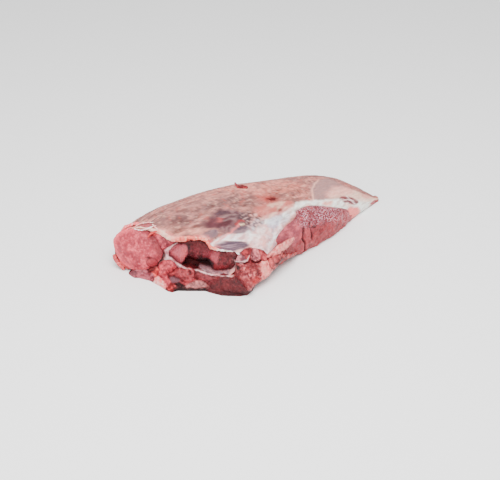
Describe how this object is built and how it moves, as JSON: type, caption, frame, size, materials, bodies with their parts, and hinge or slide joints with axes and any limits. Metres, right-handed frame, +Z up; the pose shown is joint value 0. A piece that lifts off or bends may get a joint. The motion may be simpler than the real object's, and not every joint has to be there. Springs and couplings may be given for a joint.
{
  "type": "beef top blade",
  "caption": "Raw boneless beef top blade: a long slab of muscle under pale fascia, tapering to a flap, its wide end cut across with an open blade-bone pocket.",
  "frame": {"origin": "centre of the bounding box in plan, on the flat underside that rests on the board", "axes": "+X along the length towards the thin end, +Y towards the side with the round tender, +Z up"},
  "size_m": [0.4871, 0.2388, 0.0869],
  "materials": {
    "meat": "moist raw muscle with dry pale fascia over the top"
  },
  "bodies": {
    "root": {"top_blade": "meat"}
  },
  "joints": []
}
